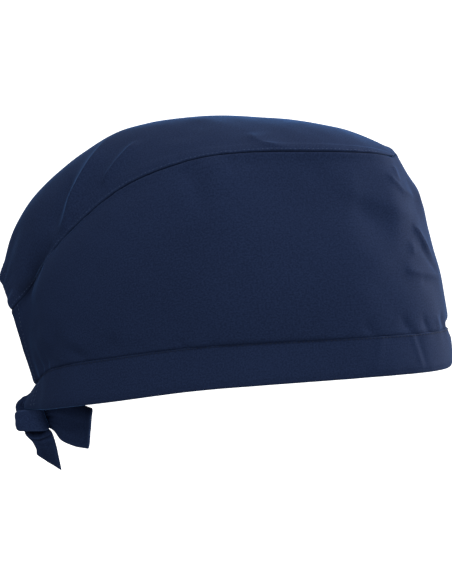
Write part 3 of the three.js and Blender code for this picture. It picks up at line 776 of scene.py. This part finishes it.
def band_outer(t, out, up_share):
    arc = rim_arc(t)
    share = np.clip(up_share, 0, 1)
    to_end = HALF_RIM - np.abs(arc)
    back = smooth((np.abs(t) - 0.45) / 0.4)
    rise = out + 0.30 * ripple(arc, (26, 60), 41) * np.sin(math.pi * share)
    rise = rise + (0.14 + 0.12 * back) * ripple(arc, (7, 15), 22) * share**4
    rise = rise + 0.22 * ripple(arc, (12, 26), 43) * edge_fall(share, 0.4)
    for place, lean, height, half in BAND_CREASES:
        d = (arc - place - lean * (1 - share)) / half
        rise = rise + height * np.exp(-d * d) * smooth(share / 0.35)
    point = at("rim", t) + (at("band", t) - at("rim", t)) * np.asarray(up_share)[..., None]
    point = point + outward(t) * rise[..., None]
    # The lower rear corners are pulled back to the knot, and the top is drawn in a little left of the centre front.
    pull = (1 - share) * edge_fall(to_end, 28)
    drawn = 1.5 * edge_fall(np.abs(t - 0.11), 0.11) * edge_fall(1 - share, 0.3)
    return point + np.stack([-5.0 * pull - drawn, 0.4 * np.sign(t) * pull, 0.7 * pull], -1)


def build_band():
    t = rim_t(spaced(2 * HALF_RIM, 0.35, 0.95) - HALF_RIM)
    out, up_share = band_face(35)
    up_grid, t_grid = np.meshgrid(up_share, t, indexing="ij")
    out_grid = np.repeat(out[:, None], len(t), axis=1)
    outer = band_outer(t_grid, out_grid, up_grid)
    arc, up = rim_arc(t_grid), up_grid * BAND_HEIGHT
    to_stitch = up - BAND_STITCH_UP * BAND_HEIGHT
    wall = 1.9 - 0.5 * groove(to_stitch, 1.0) + 0.30 * ripple(arc, (10, 24), 45) * edge_fall(1 - up_grid, 0.5)
    # Lighter along the bottom fold, the top edge and the ends: wear and painted highlight. Painted shade along the
    # stitch line.
    wear_and_highlight = 0.12 * edge_fall(np.abs(up), 1.0) + 0.35 * edge_fall(np.abs(BAND_HEIGHT - up), 0.8)
    marks = {"wear_and_highlight": wear_and_highlight + 0.5 * edge_fall(HALF_RIM - np.abs(arc), 0.8), "shade": 0.45 * groove(to_stitch, 0.45)}
    piece = cloth_shell("band_casing", outer, outward(t_grid), wall, np.stack([arc, up], -1), marks, lip=0.35)
    finish_piece(piece, "band_cloth", "band", material=band_cloth)


# The knot is set out as it is seen from the camera: mm right, up and near from the knot's middle.
KNOT = np.array([-108.3, -7.0, -21.5])
# Each row is one place along a strip: its two edges, its thickness, how deep it is gathered there and how far its
# middle sags.
RIGHT_TIE = [
    # first edge, second edge, thick, gather, sag
    ((1.6, 15.0, 10.2), (-0.4, 6.5, 10.8), 1.2, 0.1, 0.0),
    ((-2.2, 11.6, 7.0), (-2.4, 4.6, 8.0), 1.3, 0.15, 0.0),
    ((-5.0, 10.5, 3.0), (-2.2, 4.6, 5.0), 1.4, 0.3, 0.0),
    ((-8.7, 7.2, -0.3), (-1.0, 5.6, 2.4), 1.5, 0.4, 0.0),
    ((-9.0, 3.0, -1.2), (2.2, 3.6, 0.5), 1.6, 0.7, 0.0),
    ((-5.6, -2.0, -0.6), (4.6, -2.0, 0.4), 1.6, 1.2, 0.0),
    ((-4.9, -5.4, 0.4), (6.8, -4.8, 0.8), 1.3, 0.7, 0.8),
    ((-4.4, -7.2, 3.4), (8.2, -5.8, 3.6), 1.0, 0.3, 2.2),
    ((-3.6, -8.9, 4.4), (9.3, -7.0, 4.4), 1.0, 0.3, 2.8),
    ((-1.2, -11.6, 0.6), (10.5, -9.8, 4.4), 1.0, 0.4, 1.6),
    ((0.3, -14.6, -1.6), (11.9, -14.6, 4.4), 1.1, 0.3, 0.4),
    ((1.0, -16.6, -3.0), (12.9, -20.4, 3.0), 1.1, 0.2, 0.0),
    ((1.2, -18.6, -4.0), (13.9, -26.6, 0.6), 1.1, 0.1, 0.0),
]
LEFT_TIE_ROOT = [
    ((11.9, 18.0, -21.5), (11.6, 8.6, -21.0), 1.2, 0.1, 0.0),
    ((7.5, 12.5, -18.0), (6.0, 4.4, -17.0), 1.3, 0.4, 0.0),
    ((3.0, 5.6, -11.5), (2.0, -1.6, -11.0), 1.4, 0.9, 0.0),
    ((0.0, 3.6, -6.6), (0.4, -4.6, -6.6), 1.5, 1.2, 0.0),
]
LEFT_TIE_END = [
    ((0.5, 2.2, 1.0), (0.8, -4.2, 0.6), 1.5, 1.2, 0.0),
    ((5.0, 4.2, 2.6), (6.6, -4.8, 2.6), 1.4, 0.9, 0.0),
    ((10.0, 6.8, 6.4), (10.4, -6.6, 7.2), 1.2, 0.6, 0.0),
    ((15.5, 8.2, 9.0), (14.6, -11.0, 13.6), 1.1, 0.35, 0.0),
    ((22.4, 7.9, 13.0), (21.4, -13.6, 20.0), 1.1, 0.3, 0.0),
    ((27.2, 6.4, 17.0), (26.0, -14.2, 24.6), 1.1, 0.2, 0.0),
    ((30.3, 5.4, 19.6), (28.4, -14.4, 27.0), 1.1, 0.15, 0.0),
]
# The wrap: points of its upper and its lower edge, once round.
WRAP = [
    ((-8.9, 2.2, 0.0), (-8.0, -6.0, 0.0)),
    ((-7.6, 3.5, 7.4), (-6.6, -6.7, 6.6)),
    ((-3.0, 4.4, 12.6), (-0.6, -6.5, 11.0)),
    ((1.6, 4.7, 13.4), (4.8, -6.4, 11.4)),
    ((4.0, 4.6, 9.4), (7.6, -6.0, 7.0)),
    ((3.2, 4.3, -2.0), (6.4, -5.8, -1.6)),
    ((0.6, 3.9, -6.4), (1.8, -6.0, -6.4)),
    ((-4.8, 3.1, -7.2), (-4.0, -5.8, -7.2)),
    ((-8.2, 2.3, -3.6), (-7.0, -5.3, -3.6)),
]


def from_seen(p):
    p = np.asarray(p, float)
    return KNOT + p[..., :1] * SEEN_RIGHT + p[..., 1:2] * SEEN_UP + p[..., 2:3] * SEEN_NEAR


def rounded(x, power):
    """1 across a strip and falling to 0 at its edges, where x is 0 and 1."""
    return np.sqrt(np.clip(1 - (2 * np.abs(x - 0.5)) ** power, 0.0, 1))


def strip(rows, seed, steps=16, across=33, hem=False, turns=2.6, creases=(), under=0.0):
    """A strip of cloth through rows of edges: a closed thin shell, gathered into lengthwise folds.

    creases: lines across it, each its row, its depth and its half width in rows; each paints shade of that depth and
    dents the face by half as much, mm. under: painted shade along its first edge.
    """
    table = np.array([[*a, *b, thick, gather, sag] for a, b, thick, gather, sag in rows])
    u = np.linspace(0, 1, (len(rows) - 1) * steps + 1)
    line = catmull(table, u)
    first, second = from_seen(line[:, 0:3]), from_seen(line[:, 3:6])
    thick, gather = line[:, 6], np.maximum(line[:, 7], 0)
    middle = (first + second) / 2
    heading = unit(np.gradient(middle, axis=0))
    over = unit(second - first)
    face = unit(np.cross(heading, over))
    along = lengths(middle)
    rng = np.random.default_rng(seed)
    x = (1 - np.cos(np.linspace(0, math.pi, across))) / 2
    x = 0.5 * x + 0.5 * np.linspace(0, 1, across)
    phase = rng.uniform(0, 1)
    wander = 0.12 * np.sin(along / rng.uniform(5, 8) + rng.uniform(0, 6))
    wave = np.sin(2 * math.pi * (turns * x[None] + phase + wander[:, None]))
    wave = wave + 0.45 * np.sin(2 * math.pi * (turns * 1.9 * x[None] + 2 * phase - 1.5 * wander[:, None]))
    calm = np.sin(math.pi * np.clip(x, 0.02, 0.98)) ** 0.5
    sheet = wave * gather[:, None] * 0.62 * calm[None]
    sheet = sheet + 0.25 * np.sin(2 * math.pi * (x[None] * 0.7 + along[:, None] / 23 + phase))
    half = np.repeat(thick[:, None] / 2, across, 1)
    if hem:
        to_end = along[-1] - along
        half = half + (0.32 * edge_fall(np.maximum(to_end - 1.8, 0), 0.5) - 0.2 * groove(to_end - 2.5, 0.4))[:, None]
    half = half * (0.12 + 0.88 * rounded(x, 14)[None])
    flat = first[:, None] + (second - first)[:, None] * x[None, :, None]
    flat = flat - SEEN_UP * (line[:, 8, None] * 4 * (x * (1 - x))[None])[..., None]
    top = flat + face[:, None] * (sheet + half)[..., None]
    bottom = flat + face[:, None] * (sheet - half)[..., None]
    width = np.linalg.norm(second - first, axis=1)
    uv = np.stack([x[None] * width[:, None], np.repeat(along[:, None], across, 1)], -1)
    at_row = u[:, None] * (len(rows) - 1)
    shade = np.repeat(under * (1 - smooth(x / 0.35))[None], len(u), 0)
    for row, depth, half_width in creases:
        # Painted shade along each crease; the face is also pushed in by half of it, mm.
        dent_and_shade = depth * groove(at_row - row, half_width) * np.sin(math.pi * x)[None] ** 0.5
        shade = np.maximum(shade, dent_and_shade)
        top = top - face[:, None] * (0.5 * dent_and_shade)[..., None]
    shade = np.concatenate([shade, shade[:, ::-1]], axis=1)
    return (*sheet_tube(top, bottom, uv, along), shade.ravel())


def sheet_tube(top, bottom, uv, along):
    """Points, faces, uv and the lighter edges (wear and painted highlight) of a closed shell between two grids of the
    same size.
    """
    rows, across = top.shape[:2]
    ring = np.concatenate([top, bottom[:, ::-1]], axis=1)
    ring_uv = np.concatenate([uv, uv[:, ::-1]], axis=1)
    count = 2 * across
    grid = np.arange(rows * count).reshape(rows, count)
    beside = np.roll(grid, -1, axis=1)
    faces = quads(grid[:-1], beside[:-1], beside[1:], grid[1:])
    for row, turn in ((grid[0], -1), (grid[-1], 1)):
        near, far = row[:across], row[::-1][:across]
        faces += [face[::turn] for face in quads(near[:-1], near[1:], far[1:], far[:-1])]
    points = ring.reshape(-1, 3)
    edge = np.concatenate([np.linspace(0, 1, across), np.linspace(1, 0, across)])
    # Both long edges and the far end are painted lighter: wear and a painted highlight.
    wear_and_highlight = np.clip(np.abs(2 * edge - 1) ** 20, 0, 1)[None] * 0.7 + edge_fall(along[-1] - along, 0.8)[:, None] * 0.6
    return points, facing_out(points, faces), ring_uv.reshape(-1, 2), np.clip(wear_and_highlight, 0, 1).ravel()


def wrap_part():
    """The left tie's one turn round the right tie: a flattened strip, closed on itself."""
    table = np.array([[*a, *b] for a, b in WRAP])
    rounds, across = 112, 25
    turn = np.arange(rounds) / rounds
    u = turn * len(table)
    k = u.astype(int)
    line = span(np.vstack([table[-1:], table, table[:2]]), k, (u - k)[:, None])
    upper, lower = from_seen(line[:, :3]), from_seen(line[:, 3:])
    heading = unit(np.roll(upper + lower, -1, axis=0) - np.roll(upper + lower, 1, axis=0))
    down = unit(lower - upper)
    middle = from_seen(line.reshape(-1, 2, 3).mean(1))
    face = turned_to(unit(np.cross(heading, down)), middle - middle.mean(0))
    x = np.linspace(0, 1, across)
    wander = 0.3 * np.sin(2 * math.pi * turn)[:, None]
    crease = 0.14 * np.sin(2 * math.pi * (x[None] * 1.6 + wander)) * np.sin(math.pi * x)[None]
    lift = 0.25 * np.sin(math.pi * x)[None] + crease
    half = 0.75 * (0.15 + 0.85 * rounded(x, 8)[None])
    flat = upper[:, None] + (lower - upper)[:, None] * x[None, :, None]
    outer = flat + face[:, None] * (lift + half)[..., None]
    inner = flat + face[:, None] * (lift * 0.3 - half)[..., None]
    ring = np.concatenate([outer, inner[:, ::-1]], axis=1)
    total = 2 * across
    grid = np.arange(rounds * total).reshape(rounds, total)
    below = np.roll(grid, -1, axis=0)
    faces = quads(grid, np.roll(grid, -1, 1), np.roll(below, -1, 1), below)
    v = np.repeat(lengths(middle)[:, None], total, 1)
    ring_x = np.concatenate([x, x[::-1]])
    uv = np.stack([np.repeat(ring_x[None] * 11, rounds, 0), v], -1)
    # Both edges of the wrap are painted lighter: a painted highlight on the folded edges, and wear.
    wear_and_highlight = np.repeat(np.clip(2.4 * np.abs(2 * ring_x - 1) ** 12, 0, 1)[None], rounds, 0)
    points = ring.reshape(-1, 3)
    return points, facing_out(points, faces), uv.reshape(-1, 2), wear_and_highlight.ravel(), np.zeros(len(points))


def join_parts(name, *parts):
    """One mesh of several parts. Each is its points, faces, uv, lighter edges (wear and painted highlight) and painted
    shade.
    """
    points, groups, uvs, wear_and_highlight, shade = zip(*parts)
    starts = np.cumsum([0] + [len(p) for p in points]).tolist()
    faces = [[i + start for i in face] for start, group in zip(starts, groups) for face in group]
    marks = {"wear_and_highlight": np.concatenate(wear_and_highlight), "shade": np.concatenate(shade)}
    return make_mesh(name, np.vstack(points), faces, np.vstack(uvs), marks)


def build_ties():
    # Painted shade in creases under the wrap and down the lower tail.
    creases = [(6.6, 0.9, 0.5), (8.3, 0.95, 0.28), (9.6, 0.4, 0.5), (11.2, 0.5, 1.7)]
    right_tie = join_parts("tie_right_cloth", strip(RIGHT_TIE, 51, creases=creases))
    finish_piece(right_tie, "tie_cloth", "tie_right", material=tie_cloth)
    # The side tail's first edge, under the band, and a crease near its root get painted shade.
    end = strip(LEFT_TIE_END, 53, hem=True, creases=[(0.8, 0.6, 0.6)], under=0.8)
    left_tie = join_parts("tie_left_cloth", strip(LEFT_TIE_ROOT, 52), wrap_part(), end)
    finish_piece(left_tie, "tie_cloth", "tie_left", material=tie_cloth)


def stitches(name, line, normal, slot, pitch=2.2, share=0.66, radius=0.12, proud=0.04, yarn=thread):
    """Short threads along a dense line of points, mm, lying on the cloth, all in one mesh."""
    along = lengths(line)
    count = int(along[-1] // pitch)
    start = (along[-1] - count * pitch) / 2
    rng = np.random.default_rng(len(name) * 31 + count)

    def sample(values, where):
        return np.stack([np.interp(where, along, values[:, k]) for k in range(3)], 1)

    points, faces = [], []
    sides, rings = 6, 5
    angle = np.linspace(0, 2 * math.pi, sides, endpoint=False)
    for i in range(count):
        a = start + (i + rng.uniform(-0.06, 0.06)) * pitch + pitch * (1 - share) / 2
        where = np.linspace(a, a + pitch * share, rings)
        p, n = sample(line, where), unit(sample(normal, where))
        d = unit(np.gradient(p, axis=0))
        b = np.cross(d, n)
        bow = np.sin(np.linspace(0, math.pi, rings))
        height = proud * bow - 0.16 * (1 - bow)
        thick = radius * (0.45 + 0.55 * bow)
        first = i * sides * rings
        circle = np.sin(angle)[None, :, None] * n[:, None] + np.cos(angle)[None, :, None] * b[:, None]
        ring = p[:, None] + n[:, None] * height[:, None, None] + circle * thick[:, None, None]
        points.append(ring.reshape(-1, 3))
        grid = np.arange(first, first + rings * sides).reshape(rings, sides)
        beside = np.roll(grid, -1, axis=1)
        faces += quads(grid[:-1], beside[:-1], beside[1:], grid[1:])
        faces += [grid[0, ::-1].tolist(), grid[-1].tolist()]
    piece = make_mesh(name, np.vstack(points), faces)
    return finish_piece(piece, slot, material=yarn)


def build_stitches():
    # Just above the crown seam, on both sides, from a little behind the centre front.
    for side, hand in ((-1, "right"), (1, "left")):
        arcs = np.arange(14, HALF_SEAM - 0.5, 0.5)
        t = seam_t(arcs)
        q = side * (1 - CROWN_STITCH / crown_slant(t))
        line, normal = crown_surface(t, q)
        stitches("crown_stitch_" + hand, line, normal, "crown_cloth")
        # Along the side panel's rear hem, and on down the band's end in two rows.
        s = np.linspace(0.02, 0.985, 240)
        line, normal = side_surface(side * seam_t(HALF_SEAM - HEM_STITCH) * np.ones(len(s)), s)
        stitches("hem_stitch_" + hand + "_inner", line, normal, "side_cloth", radius=0.17, proud=0.24)
        up_share = np.linspace(0.06, 0.93, 90)
        out = np.interp(up_share, [u for _, u in BAND_FACE], [o for o, _ in BAND_FACE])
        for inset, label in ((12.5, "_a"), (16.5, "_b")):
            t = rim_t(side * (HALF_RIM - inset)) * np.ones(len(up_share))
            line = band_outer(t, out, up_share)
            stitches("band_end_stitch_" + hand + label, line, outward(t), "band_cloth", radius=0.17, proud=0.24)
    # Round the crown's rear hem.
    q = np.linspace(-0.97, 0.97, 300)
    inset = HEM_STITCH / (1 + REAR_SPREAD * (1 - q * q))
    line, normal = crown_surface(seam_t(HALF_SEAM - inset), q)
    stitches("crown_hem_stitch", line, normal, "crown_cloth", proud=0.1)
    # Along the band, just under its top edge, in near-black thread: painted shade along the stitch line.
    t = rim_t(np.arange(6 - HALF_RIM, HALF_RIM - 6, 0.5))
    line = band_outer(t, np.zeros(len(t)), np.full(len(t), BAND_STITCH_UP))
    stitches("band_stitch", line, outward(t), "band_cloth", radius=0.2, proud=0.1, yarn=shade_dark_thread)


# Soft white area lights, in metres. Each one is turned to the cap's middle.
LIGHTS = [
    # name, where, size, power
    ("top_light", (0.0, 0.55, 1.3), (1.4, 1.2), 6.2),
    ("front_top_light", (0.8, 0.3, 1.1), (1.0, 1.0), 1.6),
    ("front_light", (1.05, 1.15, 0.35), (0.8, 1.0), 27.0),
    ("right_top_light", (-0.2, -1.0, 1.0), (1.0, 1.0), 2.2),
    ("back_light", (-0.8, 1.0, 0.6), (1.0, 1.0), 1.0),
]
FILL = 0.49  # strength of the light from all round


def build_lights():
    middle = Vector((0, 0, 0.04))
    for name, where, size, power in LIGHTS:
        data = bpy.data.lights.new(name, "AREA")
        data.shape = "RECTANGLE"
        data.size, data.size_y = size
        data.energy = power
        lamp = add_object(name, data)
        lamp.location = where
        lamp.rotation_euler = (Vector(where) - middle).to_track_quat("Z", "Y").to_euler()


def build_stage():
    """A white floor and a white wall all round, which the camera sees and which throw no light on the cap."""
    level, reach, tall, sides = -0.34, 14.0, 12.0, 48
    angles = np.linspace(0, 2 * math.pi, sides, endpoint=False)
    ring = [(reach * math.cos(a), reach * math.sin(a)) for a in angles]
    low = [(x, y, level) for x, y in ring]
    high = [(x, y, tall) for x, y in ring]
    wall = [(i, (i + 1) % sides, sides + (i + 1) % sides, sides + i) for i in range(sides)]
    shapes = {
        "floor": (low, [tuple(range(sides))]),
        "backdrop": (low + high, [f[::-1] for f in wall] + [tuple(range(sides, 2 * sides))[::-1]]),
    }
    paint, _, _, surface = new_material("pale_paint")
    surface(Base_Color=(0.9, 0.9, 0.9, 1), Roughness=0.9, Emission_Color=(1, 1, 1, 1), Emission_Strength=1.0)
    for name, (points, faces) in shapes.items():
        mesh = bpy.data.meshes.new(name)
        mesh.from_pydata(points, [], faces)
        mesh.materials.append(paint)
        stage = add_object(name, mesh)
        stage.visible_diffuse = stage.visible_glossy = stage.visible_shadow = False
    world = bpy.data.worlds.new("studio")
    bpy.context.scene.world = world
    world.use_nodes = True
    world.node_tree.nodes["Background"].inputs["Color"].default_value = (1, 1, 1, 1)
    nodes, link = world.node_tree.nodes, world.node_tree.links.new
    toward = nodes.new("ShaderNodeVectorMath")
    toward.operation = "DOT_PRODUCT"
    toward.inputs[1].default_value = (0.45, -0.35, 0.35)
    slope = nodes.new("ShaderNodeMapRange")
    slope.inputs["From Min"].default_value, slope.inputs["From Max"].default_value = -0.5, 0.35
    slope.inputs["To Min"].default_value, slope.inputs["To Max"].default_value = 0.25 * FILL, 1.3 * FILL
    link(nodes.new("ShaderNodeTexCoord").outputs["Generated"], toward.inputs[0])
    link(toward.outputs["Value"], slope.inputs["Value"])
    link(slope.outputs["Result"], nodes["Background"].inputs["Strength"])
    bpy.context.scene.view_settings.view_transform = "Standard"


build_camera()
build_side()
build_crown()
build_band()
build_ties()
build_stitches()
build_lights()
build_stage()
